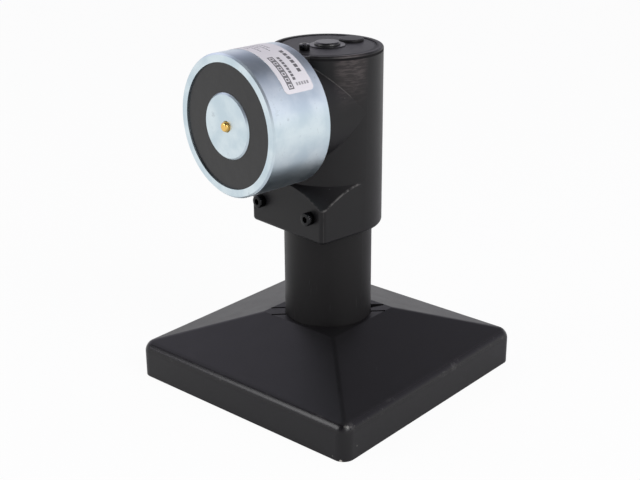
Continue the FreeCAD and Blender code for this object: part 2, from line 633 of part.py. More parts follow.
def clamp_pocket(name, gap, web_gap, z_gap):
    """The clamp jaw's own form, or with clearances the pocket that it lies in."""
    low = f"{CLAMP_HEIGHT} - jaw_height / 2 - {z_gap}"
    high = f"{CLAMP_HEIGHT} + jaw_height / 2 + {z_gap}"
    band = common(name + "_band",
                  cylinder(name + "_web", f"{JAW_RADIUS} + jaw_thickness + {web_gap}", low, high),
                  block(name + "_front", (f"-({JAW_HALF} + {gap})", f"-{HEAD_RADIUS}", low),
                        (f"{JAW_HALF} + {gap}", f"-jaw_back + {gap}", high)))
    lugs = [block(f"{name}_lug_{i + 1}", (f"{x} - jaw_lug_width / 2 - {gap}", f"-({JAW_SEAT} + {gap})", low),
                  (f"{x} + jaw_lug_width / 2 + {gap}", f"-jaw_back + {gap}", high))
            for i, x in enumerate((f"-({JAW_HALF} - jaw_lug_width / 2)",
                                   f"({JAW_HALF} - jaw_lug_width / 2)"))]
    return fuse(name + "_form", band, *lugs)


def head_housing():
    tube = rounded("head_tube", cylinder("head_blank", HEAD_RADIUS, BLOCK_TOP, HEAD_TOP),
                   "head_top_round", lambda e: e.BoundBox.ZMin > value(HEAD_TOP) - TOUCH)
    boss = rod("head_boss", HEAD_RADIUS, "0", BOSS_REACH, z=MAGNET_HEIGHT)
    inward = f"-({ROOM_RADIUS} - bridge_root)"
    bridge = block("head_bridge", ("-bridge_half", f"-{BOSS_REACH}", f"{LID_SEAT} - bridge_depth"),
                   ("bridge_half", inward, HEAD_TOP))
    solid = fuse("head_solid", front_block(), tube, boss, bridge)
    over = f"{HEAD_TOP} + overrun"
    outside = f"{BOSS_REACH} + overrun"
    room = common("boss_room", rod("boss_core", BOSS_ROOM_RADIUS, "0", BOLT_SEAT, z=MAGNET_HEIGHT),
                  block("boss_room_limit", (f"-{HEAD_RADIUS}", f"-{BOSS_REACH}", CHAMBER_FLOOR),
                        (HEAD_RADIUS, "0", HEAD_TOP)))
    hollow = [
        cylinder("head_bore", "column_radius + column_gap", "head_bottom - overrun", COLUMN_TOP),
        cylinder("head_ledge_hole", LEDGE_RADIUS, f"{COLUMN_TOP} - overrun", f"{CHAMBER_FLOOR} + overrun"),
        cylinder("head_chamber", ROOM_RADIUS, CHAMBER_FLOOR, over),
        room,
        cylinder("lid_recess", f"{LID_RADIUS} + lid_gap", LID_SEAT, over),
        block("tongue_recess", ("-(lid_tongue_half + lid_gap)", f"-({outside})", LID_SEAT),
              ("lid_tongue_half + lid_gap", inward, over)),
        rod("bolt_hole", "bolt_radius + column_gap", f"{BOLT_SEAT} - overrun", outside, z=MAGNET_HEIGHT),
        rod("bush_hole", "bush_radius + thread_gap", f"{BOLT_SEAT} - overrun", outside, x=LEAD_X, z=LEAD_Z),
        clamp_pocket("jaw_pocket", "jaw_gap", "jaw_gap", "jaw_gap"),
    ]
    for i, side in enumerate((-1, 1), start=1):
        x = f"{side} * clamp_spacing / 2"
        nut = hexagon(f"nut_pocket_{i}", "clamp_nut_width + 2 * jaw_gap",
                      f"{NUT_SEAT} + clamp_nut_height + jaw_gap - {JAW_SEAT}")
        hollow.append(place(nut, x, f"-{JAW_SEAT}", CLAMP_HEIGHT, FORWARD))
        hollow.append(rod(f"clamp_hole_{i}", "clamp_screw_radius + jaw_gap", JAW_SEAT,
                          f"{FRONT_REACH} + overrun", x=x, z=CLAMP_HEIGHT))
    shell = cut("head_shell", solid, *hollow)
    post = cylinder("lid_post", "post_radius", f"{LID_SEAT} - post_height", LID_SEAT, y=f"-{SCREW_REACH}")
    web = block("post_web", ("-post_radius / 2", f"-({BOLT_SEAT} + overrun)", f"{LID_SEAT} - post_height"),
                ("post_radius / 2", f"-{SCREW_REACH}", LID_SEAT))
    inside = [post, web]
    rails = []
    for i, side in enumerate((-1, 1)):
        edges = sorted((f"{side} * ({BOARD_HALF} - rail_depth)", f"{side} * {ROOM_RADIUS}"), key=value)
        for j, near in enumerate(("board_back - rail_thickness - jaw_gap / 2",
                                  "board_back + board_thickness + jaw_gap / 2")):
            rails.append(block(f"board_rail_{i}{j}", (edges[0], near, f"{CHAMBER_FLOOR} - overrun"),
                               (edges[1], f"{near} + rail_thickness", f"{CHAMBER_FLOOR} + board_height")))
    limit = cylinder("rail_limit", f"{ROOM_RADIUS} + overrun", f"{CHAMBER_FLOOR} - overrun", LID_SEAT)
    inside.append(common("board_rails", fuse("rail_blanks", *rails), limit))
    thread = cylinder("post_thread", "lid_screw_radius + thread_gap", f"{LID_SEAT} - post_height + overrun",
                      f"{LID_SEAT} + overrun", y=f"-{SCREW_REACH}")
    filled = fuse("head_filled", shell, *inside)
    filled.Refine = False
    housing = cut("head_housing", filled, thread)
    keep(place(housing, on_head=True), "head_housing")


def head_lid():
    disc = cylinder("lid_disc", LID_RADIUS, LID_SEAT, LID_TOP)
    tongue = block("lid_tongue", ("-lid_tongue_half", f"-({BOSS_REACH} - lid_gap)", LID_SEAT),
                   ("lid_tongue_half", "0", LID_TOP))
    lip_foot = f"{LID_SEAT} - lid_lip_depth"
    lip_radius = f"{ROOM_RADIUS} - jaw_gap"
    lip = cut("lid_lip", cylinder("lip_outer", lip_radius, lip_foot, LID_SEAT),
              cylinder("lip_inner", f"{lip_radius} - lid_lip_wall", f"{lip_foot} - overrun",
                       f"{LID_SEAT} + overrun"),
              block("lip_gap", ("-bridge_half", f"-{HEAD_RADIUS}", f"{lip_foot} - overrun"),
                    ("bridge_half", "0", f"{LID_SEAT} + overrun")))
    reach = (f"{LID_SEAT} - overrun", f"{LID_TOP} + overrun")
    holes = [
        cylinder("lid_switch_hole", "barrel_radius + barrel_gap", *reach),
        cylinder("lid_plug_hole", f"{PLUG_STEM} + barrel_gap", *reach, y=PLUG_BACK),
        cylinder("lid_screw_hole", "lid_screw_radius + lid_gap", *reach, y=f"-{SCREW_REACH}"),
    ]
    lid = cut("head_lid", fuse("lid_solid", disc, tongue, lip), *holes)
    keep(place(lid, on_head=True), "head_lid")


def lid_screw():
    screw = cap_screw("lid_screw", "lid_screw_radius", "lid_screw_length", "lid_head_radius",
                      "2 * lid_screw_radius", "lid_key")
    keep(place(screw, "0", f"-{SCREW_REACH}", LID_TOP, on_head=True), "lid_screw")


def clamp():
    """The jaw that grips the column, with its two screws and their nuts."""
    bore = cylinder("jaw_bore", JAW_RADIUS, f"{CLAMP_HEIGHT} - jaw_height", f"{CLAMP_HEIGHT} + jaw_height")
    jaw = cut("clamp_jaw", clamp_pocket("jaw", "0", "0", "0"), bore)
    keep(place(jaw, on_head=True), "clamp_jaw")
    screws = []
    nuts = []
    for i, side in enumerate((-1, 1), start=1):
        x = f"{side} * clamp_spacing / 2"
        screw = cap_screw(f"clamp_screw_{i}", "clamp_screw_radius", "clamp_screw_length",
                          "clamp_head_radius", "2 * clamp_screw_radius", "clamp_key")
        screws.append(place(screw, x, f"-{FRONT_REACH}", CLAMP_HEIGHT, FORWARD, on_head=True))
        hole = cylinder(f"nut_bore_{i}", "clamp_screw_radius + thread_gap", "-overrun",
                        "clamp_nut_height + overrun")
        nut = cut(f"clamp_nut_{i}", hexagon(f"nut_blank_{i}", "clamp_nut_width", "clamp_nut_height"), hole)
        nuts.append(place(nut, x, f"-{NUT_SEAT}", CLAMP_HEIGHT, FORWARD, on_head=True))
    keep(group("clamp_screws", screws), "clamp_screws")
    keep(group("clamp_nuts", nuts), "clamp_nuts")


# The magnet, along its own axis, counted from its back


def on_magnet(item, along="0", x="0", z="0"):
    return place(item, x, f"-({BOSS_REACH} + {along})", f"{MAGNET_HEIGHT} + {z}", FORWARD, on_head=True)


def magnet_pot():
    front = "magnet_length"
    body = turned("pot_body", [
        ("bolt_radius + thread_gap", "0"), ("magnet_radius", "0", "pot_back_round"),
        ("magnet_radius", f"{front} - pot_chamfer"), ("magnet_radius - pot_chamfer", front),
        (POLE_INNER, front), (POLE_INNER, "pot_floor"), ("core_radius", "pot_floor"),
        ("core_radius", f"{front} - core_chamfer"), ("core_radius - core_chamfer", front),
        ("pin_radius + pin_gap + pin_chamfer", front), ("pin_radius + pin_gap", f"{front} - pin_chamfer"),
        ("pin_radius + pin_gap", "pin_step"), ("bolt_radius + thread_gap", "pin_step")])
    hole = cylinder("pot_lead_hole", "bush_radius + thread_gap", "-overrun", "pot_floor + overrun",
                    x=LEAD_X, y=LEAD_RISE)
    keep(on_magnet(cut("magnet_pot", body, hole)), "magnet_pot")


def coil_pieces():
    inner = "(core_radius + coil_gap)"
    outer = f"({POLE_INNER} - coil_gap)"
    back = "(pot_floor + coil_gap)"
    front = "(magnet_length - ring_inset - ring_thickness - coil_gap)"
    wall = "bobbin_wall"
    bobbin = turned("bobbin_body", [
        (inner, back), (outer, back), (outer, f"{back} + {wall}"), (f"{inner} + {wall}", f"{back} + {wall}"),
        (f"{inner} + {wall}", f"{front} - {wall}"), (outer, f"{front} - {wall}"), (outer, front),
        (inner, front)])
    hole = cylinder("bobbin_lead_hole", "bush_bore", f"{back} - overrun", f"{back} + {wall} + overrun",
                    x=LEAD_X, y=LEAD_RISE)
    keep(on_magnet(cut("coil_bobbin", bobbin, hole)), "coil_bobbin")
    low = f"{back} + {wall} + coil_gap"
    high = f"{front} - {wall} - coil_gap"
    winding = turned("magnet_coil", [
        (f"{inner} + {wall} + coil_gap", low), (f"{outer} - coil_cover", low),
        (f"{outer} - coil_cover", high), (f"{inner} + {wall} + coil_gap", high)])
    keep(on_magnet(winding), "magnet_coil")
    face = "(magnet_length - ring_inset)"
    ring = turned("potting_ring", [
        (inner, f"{face} - ring_thickness"), (outer, f"{face} - ring_thickness"), (outer, face),
        (inner, face)])
    keep(on_magnet(ring), "potting_ring")


def ejector():
    stop = "(pin_step - coil_gap)"
    pin = turned("ejector_pin", [
        ("0", f"{stop} - pin_collar"), ("pin_collar_radius", f"{stop} - pin_collar"),
        ("pin_collar_radius", stop),
        ("pin_radius", stop), ("pin_radius", "magnet_length + pin_travel", "pin_radius / 2"),
        ("0", "magnet_length + pin_travel")])
    keep(on_magnet(pin), "ejector_pin")
    back = f"({BOLT_TIP} - {BOSS_REACH} + coil_gap)"
    length = f"({stop} - pin_collar - {back} - coil_gap)"
    spring = coil("ejector_spring", "pin_spring_radius", length, 6)
    keep(on_magnet(spring, f"{back} + spring_wire"), "ejector_spring")


def magnet_fixings():
    bolt = cap_screw("magnet_bolt", "bolt_radius", "bolt_length", "bolt_head_radius", "2 * bolt_radius",
                     "bolt_key")
    backwards = "rotation(vector(1; 0; 0); -90)"
    place(bolt, "0", f"-({BOLT_SEAT} - washer_thickness)", MAGNET_HEIGHT, backwards, on_head=True)
    keep(bolt, "magnet_bolt")
    washer = turned("bolt_washer", [("bolt_radius + lid_gap", "0"), ("washer_radius", "0"),
                                    ("washer_radius", "washer_thickness"),
                                    ("bolt_radius + lid_gap", "washer_thickness")])
    place(washer, "0", f"-({BOLT_SEAT} - washer_thickness)", MAGNET_HEIGHT, FORWARD, on_head=True)
    keep(washer, "bolt_washer")
    end = "boss_wall + pot_floor - bush_end"
    bush = turned("lead_bush", [
        ("bush_bore", "-bush_collar"), ("bush_radius + bush_collar", "-bush_collar"),
        ("bush_radius + bush_collar", "0"), ("bush_radius", "0"), ("bush_radius", end), ("bush_bore", end)])
    place(bush, LEAD_X, f"-({BOLT_SEAT})", LEAD_Z, FORWARD, on_head=True)
    keep(bush, "lead_bush")


def rating_label():
    """A thin sheet wrapped over the top of the magnet."""
    inner = "(magnet_radius + label_glue)"
    outer = f"({inner} + label_thickness)"
    sheet_body = turned("label_ring", [
        (inner, "0"), (outer, "0"), (outer, "label_width"), (inner, "label_width")])
    sheet_body.Tip.setExpression("Angle", formula("2 * label_half_angle"))
    turn = "rotation(vector(0; 0; 1); 90 - label_half_angle)"
    place(sheet_body, "0", "0", "0", turn)
    label = rounded("rating_label", sheet_body, "label_corner",
                    lambda e: e.Length < 2 * value("label_thickness"))
    keep(on_magnet(label, "label_start"), "rating_label")


# The push button and its switch


def on_axis(item, z="0"):
    return place(item, "0", "0", z, on_head=True)


def switch_pieces():
    bore = "(button_radius + button_gap)"
    hole = "(stem_radius + button_gap)"
    chamber = "(barrel_radius - switch_wall)"
    under = f"({SWITCH_FLOOR} - switch_floor_thickness)"
    body = turned("switch_body", [
        (bore, f"{LID_TOP} + bezel_height"), (bore, SWITCH_FLOOR), (hole, SWITCH_FLOOR), (hole, under),
        (chamber, under), (chamber, SWITCH_FOOT), ("barrel_radius", SWITCH_FOOT), ("barrel_radius", LID_TOP),
        ("bezel_radius", LID_TOP), ("bezel_radius", f"{LID_TOP} + bezel_height / 2"),
        ("bezel_radius - bezel_height / 2", f"{LID_TOP} + bezel_height")])
    keep(on_axis(body), "switch_body")
    blank = place(hexagon("switch_nut_blank", "switch_nut_width", "switch_nut_height"),
                  z=f"{LID_SEAT} - switch_nut_height")
    nut_bore = cylinder("switch_nut_bore", "barrel_radius + barrel_gap",
                        f"{LID_SEAT} - switch_nut_height - overrun", f"{LID_SEAT} + overrun")
    keep(on_axis(cut("switch_nut", blank, nut_bore)), "switch_nut")
    stem_foot = f"({under} - contact_drop)"
    rivet = "(stem_radius - rivet_step)"
    button = turned("push_button", [
        ("0", BUTTON_TOP), ("button_radius", BUTTON_TOP, "button_round"),
        ("button_radius", f"{BUTTON_TOP} - button_skirt"),
        ("button_radius - button_wall", f"{BUTTON_TOP} - button_skirt"),
        ("button_radius - button_wall", f"{BUTTON_TOP} - 2 * button_wall"),
        ("stem_radius", f"{BUTTON_TOP} - 2 * button_wall"), ("stem_radius", stem_foot),
        (rivet, stem_foot), (rivet, f"{stem_foot} - 2 * bridge_thickness"),
        ("0", f"{stem_foot} - 2 * bridge_thickness")])
    keep(on_axis(button), "push_button")
    length = f"({BUTTON_TOP} - 2 * button_wall - {SWITCH_FLOOR} - 2 * coil_gap)"
    spring = coil("button_spring", "button_spring_radius", length, 5)
    keep(on_axis(spring, f"{SWITCH_FLOOR} + coil_gap + spring_wire"), "button_spring")
    reach = "(contact_spacing / 2 + contact_reach)"
    strip = block("bridge_strip", (f"-{reach}", "-bridge_width / 2", f"{stem_foot} - bridge_thickness"),
                  (reach, "bridge_width / 2", stem_foot))
    eye = cylinder("bridge_eye", f"{rivet} + coil_gap", f"{stem_foot} - 2 * bridge_thickness",
                   f"{stem_foot} + overrun")
    keep(on_axis(cut("contact_bridge", strip, eye)), "contact_bridge")
    blade = "(contact_spacing / 2 + contact_offset)"
    across = ("-contact_width / 2", "contact_width / 2")
    rest = f"({stem_foot} + 2 * coil_gap)"
    contacts = []
    slots = []
    for i, side in enumerate((-1, 1), start=1):
        inner = f"{side} * (contact_spacing / 2 - contact_reach)"
        near, far = sorted((f"{side} * ({blade} - contact_blade / 2)",
                            f"{side} * ({blade} + contact_blade / 2)"), key=value)
        ends = sorted((inner, near, far), key=value)
        anvil = block(f"contact_anvil_{i}", (ends[0], across[0], rest),
                      (ends[2], across[1], f"{rest} + contact_blade"))
        leg = block(f"contact_leg_{i}", (near, across[0], f"{SWITCH_FOOT} - contact_leg"),
                    (far, across[1], f"{rest} + contact_blade"))
        contacts.append(on_axis(fuse(f"contact_{i}", anvil, leg)))
        slots.append(block(f"contact_slot_{i}",
                           (f"{near} - coil_gap", f"{across[0]} - coil_gap", f"{SWITCH_FOOT} - overrun"),
                           (f"{far} + coil_gap", f"{across[1]} + coil_gap",
                            f"{SWITCH_FOOT} + switch_base_thickness + overrun")))
    keep(group("switch_contacts", contacts), "switch_contacts")
    base = cylinder("switch_base_disc", f"{chamber} - coil_gap", SWITCH_FOOT,
                    f"{SWITCH_FOOT} + switch_base_thickness")
    keep(on_axis(cut("switch_base", base, *slots)), "switch_base")


def blanking_plug():
    under = "-(lid_thickness + barrel_gap)"
    barb = f"{under} - plug_lead"
    plug = turned("blanking_plug", [
        ("0", "plug_rise"), (PLUG_RADIUS, "plug_rise", "plug_rise / 2"), (PLUG_RADIUS, "0"),
        (PLUG_STEM, "0"), (PLUG_STEM, under),
        (f"{PLUG_STEM} + plug_barb", f"{under} - plug_barb"),
        (f"{PLUG_STEM} - plug_barb", barb), (f"{PLUG_STEM} - plug_wall", barb),
        (f"{PLUG_STEM} - plug_wall", "-plug_wall"), ("0", "-plug_wall")])
    keep(place(plug, "0", PLUG_BACK, LID_TOP, on_head=True), "blanking_plug")


# The terminals


def terminal_pieces():
    back = "board_back + board_thickness"
    edge = f"{CHAMBER_FLOOR} + board_height"
    board = block("board_sheet", (f"-{BOARD_HALF}", "board_back", CHAMBER_FLOOR),
                  (BOARD_HALF, back, edge))
    tab = block("board_edge", (f"-{BOARD_HALF} + board_ear", "board_back", f"{edge} - board_tab"),
                (f"{BOARD_HALF} - board_ear", back, f"{edge} + board_tab"))
    keep(place(fuse("terminal_board", board, tab), on_head=True), "terminal_board")
    foot = TERMINAL_FOOT
    top = f"({foot} + terminal_height)"
    front = "(board_back - terminal_depth)"
    half = f"(terminal_pitch * {TERMINALS} / 2)"
    blank = block("terminal_blank", (f"-{half}", front, foot), (half, "board_back", top))
    holes = []
    screws = []
    for i in range(TERMINALS):
        x = f"(terminal_pitch * {i - (TERMINALS - 1) / 2})"
        y = "(board_back - terminal_depth / 2)"
        well = f"({top} - terminal_well_depth)"
        holes.append(cylinder(f"terminal_well_{i}", "terminal_well", well, f"{top} + overrun", x=x, y=y))
        holes.append(block(f"terminal_mouth_{i}",
                           (f"{x} - terminal_mouth / 2", f"{front} - overrun", f"{foot} + terminal_floor"),
                           (f"{x} + terminal_mouth / 2", "board_back - terminal_back",
                            f"{foot} + terminal_floor + terminal_mouth")))
        high = f"({top} - terminal_sink)"
        rod_part = cylinder(f"terminal_rod_{i}", "terminal_screw_radius", well, high, x=x, y=y)
        slit = block(f"terminal_slit_{i}",
                     (f"{x} - terminal_well", f"{y} - terminal_slot / 2", f"{high} - terminal_slot_depth"),
                     (f"{x} + terminal_well", f"{y} + terminal_slot / 2", top))
        screws.append(place(cut(f"terminal_screw_{i}", rod_part, slit), on_head=True))
    keep(place(cut("terminal_block", blank, *holes), on_head=True), "terminal_block")
    keep(group("terminal_screws", screws), "terminal_screws")
    diode = turned("suppressor_diode", [
        ("0", "-diode_lead_reach"), ("diode_lead", "-diode_lead_reach"), ("diode_lead", "-diode_half"),
        ("diode_radius", "-diode_half"), ("diode_radius", "diode_half"), ("diode_lead", "diode_half"),
        ("diode_lead", "diode_lead_reach"), ("0", "diode_lead_reach")])
    place(diode, "0", "board_back + board_thickness + diode_radius", f"{CHAMBER_FLOOR} + diode_lift", ALONG_X,
          on_head=True)
    keep(diode, "suppressor_diode")


foot_flange()
foot_set_screws()
base_cover()
column_tube()
head_housing()
head_lid()
lid_screw()
clamp()
magnet_pot()
coil_pieces()
ejector()
magnet_fixings()
rating_label()
switch_pieces()
blanking_plug()
terminal_pieces()
doc.recompute()

# Every object is checked before any file is written
for item in doc.Objects:
    if {"Invalid", "Error"} & set(item.State):
        raise RuntimeError(f"{item.Name} is not built: {item.State}")
for item in pieces:
    if item.Shape.isNull() or not item.Shape.isValid():
        raise RuntimeError(f"{item.Label} has no valid shape")

os.makedirs("parts", exist_ok=True)
for item in pieces:
    item.Shape.exportStep(f"parts/{item.Label}.step")
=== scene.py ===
import math

import bmesh
import bpy
from mathutils import Matrix, Vector


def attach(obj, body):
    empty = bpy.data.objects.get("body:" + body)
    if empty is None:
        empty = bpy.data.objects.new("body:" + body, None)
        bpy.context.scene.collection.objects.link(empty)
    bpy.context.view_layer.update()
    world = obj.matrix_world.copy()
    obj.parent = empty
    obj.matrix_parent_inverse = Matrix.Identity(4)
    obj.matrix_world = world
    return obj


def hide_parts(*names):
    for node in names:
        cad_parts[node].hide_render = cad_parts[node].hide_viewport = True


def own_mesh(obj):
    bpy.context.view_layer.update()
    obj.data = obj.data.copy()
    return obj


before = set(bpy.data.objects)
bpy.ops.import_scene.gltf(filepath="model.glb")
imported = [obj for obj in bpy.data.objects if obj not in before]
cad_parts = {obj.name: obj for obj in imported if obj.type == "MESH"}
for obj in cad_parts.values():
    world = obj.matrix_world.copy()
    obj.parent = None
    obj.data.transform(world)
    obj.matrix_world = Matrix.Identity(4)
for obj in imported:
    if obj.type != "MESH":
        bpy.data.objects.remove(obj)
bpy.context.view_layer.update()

# Sizes in metres and angles in radians, as the part's own source has them
MM = 0.001
BASE_HALF = 75 * MM
SKIRT_HEIGHT = 19 * MM
# The head, in its own directions: it looks along -Y and is turned about the column
HEAD_TURN = math.radians(6.3)
HEAD = Matrix.Rotation(-HEAD_TURN, 4, "Z")
HEAD_RADIUS = 29.3 * MM
HEAD_TOP = 186.5 * MM
LID_TOP = 186.2 * MM
LID_EDGE = 25.65 * MM
LID_SCREW_REACH = 16 * MM
# The square front at the head's foot, with conical cuts over its corners
FRONT_REACH = 30.4 * MM
FRONT_CORNER = 3 * MM
SIDE_LEAN = math.radians(1.7)
BLOCK_TOP = 118.6 * MM
FACET_SLOPE = math.tan(math.radians(41))
CLAMP_SPACING = 38.4 * MM
CLAMP_HEIGHT = 103.4 * MM
# The magnet on its level axis, and the label on it
MAGNET_HEIGHT = 155.8 * MM
MAGNET_RADIUS = 36.3 * MM
MAGNET_BACK = 31.8 * MM
LABEL_START = 5.6 * MM
# The springs of the button and of the ejector pin
SPRING_WIRE = 0.3 * MM
BUTTON_SPRING_FOOT = 174.25 * MM
EJECTOR_SPRING_FOOT = 41.05 * MM


# How a material is made: arithmetic on a field adds the nodes for it


class Field:
    """A number, vector or colour that varies over a surface: a socket in a finish's tree."""

    def __init__(self, finish, socket):
        self.finish = finish
        self.socket = socket

    def maths(self, operation, *values):
        return self.finish.node("ShaderNodeMath", {"operation": operation}, dict(enumerate(values)))

    def __add__(self, other):
        return self.maths("ADD", self, other)

    __radd__ = __add__

    def __sub__(self, other):
        return self.maths("SUBTRACT", self, other)

    def __rsub__(self, other):
        return self.maths("SUBTRACT", other, self)

    def __mul__(self, other):
        return self.maths("MULTIPLY", self, other)

    __rmul__ = __mul__

    def __truediv__(self, other):
        return self.maths("DIVIDE", self, other)

    def __pow__(self, other):
        return self.maths("POWER", self, other)

    def __abs__(self):
        return self.maths("ABSOLUTE", self)

    def most(self, other):
        return self.maths("MAXIMUM", self, other)

    def off_middle(self, pitch):
        """How far the value is from the middle of its step, in a row of equal steps."""
        return abs(self.maths("FRACT", self / pitch) - 0.5) * pitch

    def rise(self, low, high):
        """0 below low and 1 above high, smooth between. With low above high it falls from 1 to 0."""
        start, end = (0, 1) if low < high else (1, 0)
        limits = {"From Min": min(low, high), "From Max": max(low, high), "To Min": start, "To Max": end}
        return self.finish.node("ShaderNodeMapRange", {"interpolation_type": "SMOOTHSTEP"},
                                {"Value": self, **limits})


class Shading:
    """A node tree being filled. Its method node adds any node with its settings and sockets."""

    def __init__(self, owner):
        owner.use_nodes = True
        self.tree = owner.node_tree
        self.tree.nodes.clear()

    def node(self, kind, settings=None, values=None, output=0):
        made = self.tree.nodes.new(kind)
        for key, setting in (settings or {}).items():
            setattr(made, key, setting)
        for key, value in (values or {}).items():
            socket = made.inputs[key]
            if isinstance(value, Field):
                self.tree.links.new(value.socket, socket)
            else:
                socket.default_value = value
        return Field(self, made.outputs[output])

    def parts(self, vector):
        """The three coordinates of a vector."""
        split = self.node("ShaderNodeSeparateXYZ", None, {"Vector": vector})
        return [Field(self, socket) for socket in split.socket.node.outputs]

    def background_rays(self, mirrored=1.0):
        """1 for rays from the camera, and mirrored for those from gloss and through glass."""
        rays = self.node("ShaderNodeLightPath", output="Is Camera Ray").socket.node.outputs
        second = Field(self, rays["Is Glossy Ray"]).most(Field(self, rays["Is Transmission Ray"]))
        return Field(self, rays["Is Camera Ray"]).most(mirrored * second)

    def end(self, kind, shader):
        """Links a shader to the tree's output."""
        out = self.tree.nodes.new(kind)
        self.tree.links.new(shader.socket, out.inputs["Surface"])


class Finish(Shading):
    """A material being made."""

    def __init__(self, name):
        self.material = bpy.data.materials.new(name)
        super().__init__(self.material)

    def place(self, turn=0.0, stretch=(1, 1, 1)):
        """Points of the surface in the object's frame, turned about the column and stretched."""
        spot = self.node("ShaderNodeTexCoord", output="Object")
        turned = self.node("ShaderNodeMapping", None, {"Vector": spot, "Rotation": (0, 0, turn)})
        return self.node("ShaderNodeMapping", None, {"Vector": turned, "Scale": stretch})

    def noise(self, vector, size, detail=2.0):
        """Random values from 0 to 1 in patches of about the given size in metres."""
        return self.node("ShaderNodeTexNoise", None, {"Vector": vector, "Scale": 1 / size, "Detail": detail})

    def specks(self, vector, size, share):
        """Scattered round specks: 1 on them and 0 elsewhere."""
        near = self.node("ShaderNodeTexVoronoi", None, {"Vector": vector, "Scale": 1 / size}, "Distance")
        rare = self.noise(vector, 3.1 * size, 0.0)
        return near.rise(0.22, 0.1) * rare.rise(1 - share, 1 - share + 0.04)

    def blend(self, share, first, second):
        """A colour that goes from first to second as share goes from 0 to 1."""
        ends = {"Factor": share, 6: first, 7: second}
        for key in (6, 7):
            if not isinstance(ends[key], Field):
                ends[key] = (*ends[key], 1)
        return self.node("ShaderNodeMix", {"data_type": "RGBA"}, ends, output=2)

    def bump(self, height, distance, strength=1.0):
        return self.node("ShaderNodeBump", None,
                         {"Height": height, "Distance": distance, "Strength": strength})

    def surface(self, sockets):
        """Ends the material with its shader."""
        for key, value in sockets.items():
            if key.endswith("Color") and not isinstance(value, Field):
                sockets[key] = (*value, 1)
        self.end("ShaderNodeOutputMaterial", self.node("ShaderNodeBsdfPrincipled", None, sockets))
        return self.material


# The finishes


def plain_finish(name, colour, metallic=0.0, roughness=0.4, tint=0.12, grain=0.4, depth=0.01, coat=0.0):
    """A finish with a fine grain, uneven gloss and slightly uneven colour. Grain and depth are in mm."""
    finish = Finish(name)
    spot = finish.place()
    cloud = finish.noise(spot, 9 * MM)
    fine = finish.noise(spot, grain * MM, 3.0)
    dark = [channel * (1 - tint) for channel in colour]
    light = [min(1, channel * (1 + tint)) for channel in colour]
    return finish.surface({
        "Base Color": finish.blend(cloud, dark, light), "Metallic": metallic,
        "Roughness": roughness - 0.05 + 0.06 * cloud + 0.05 * fine, "Coat Weight": coat,
        "Normal": finish.bump(fine, depth * MM)})


def moulded_black(name, wear_and_highlights, shine, chips=()):
    """Black moulded plastic with a fine spark grain, dust and pale chips.

    The function it is given returns three shares over the surface: pale, from rubbed wear and painted
    highlights; brown, from handling marks and a painted sheen; and dull, which is below 0 where the surface
    is polished.
    """
    finish = Finish(name)
    spot = finish.place()
    cloud = finish.noise(spot, 14 * MM, 4.0)
    patch = finish.noise(spot, 2.6 * MM, 3.0)
    grain = finish.noise(spot, 0.35 * MM, 2.0)
    colour = finish.blend(cloud, (0.0048, 0.0044, 0.0048), (0.0068, 0.0064, 0.0072))
    rub_and_highlight, handled_sheen, dull = wear_and_highlights(finish)
    # Paler where rubbed, and at painted highlights along edges and crests
    colour = finish.blend(rub_and_highlight * patch.rise(0.3, 0.55), colour, (0.09, 0.087, 0.083))
    # Brown with scaly glints where hands touch: a painted sheen
    scales = finish.noise(finish.place(stretch=(1, 1, 5)), 5 * MM, 4.0).rise(0.42, 0.62)
    colour = finish.blend(handled_sheen * (0.4 + 0.6 * scales), colour, (0.056, 0.047, 0.046))
    dust = finish.specks(spot, 1.2 * MM, 0.2)
    colour = finish.blend(dust * 0.6, colour, (0.1, 0.1, 0.098))
    for place, size, paleness in chips:
        away = finish.node("ShaderNodeVectorMath", {"operation": "DISTANCE"},
                           {0: spot, 1: tuple(c * MM for c in place)}, "Value")
        chip = (away + 1.2 * MM * (patch - 0.5)).rise(size * MM, 0.7 * size * MM)
        colour = finish.blend(paleness * chip, colour, (0.42, 0.4, 0.36))
    roughness = 0.36 + 0.1 * cloud + 0.05 * patch - 0.08 * rub_and_highlight + 0.4 * dull
    return finish.surface({
        "Base Color": colour, "Roughness": roughness, "Specular IOR Level": shine,
        "Normal": finish.bump(grain + 0.6 * patch, 0.018 * MM)})


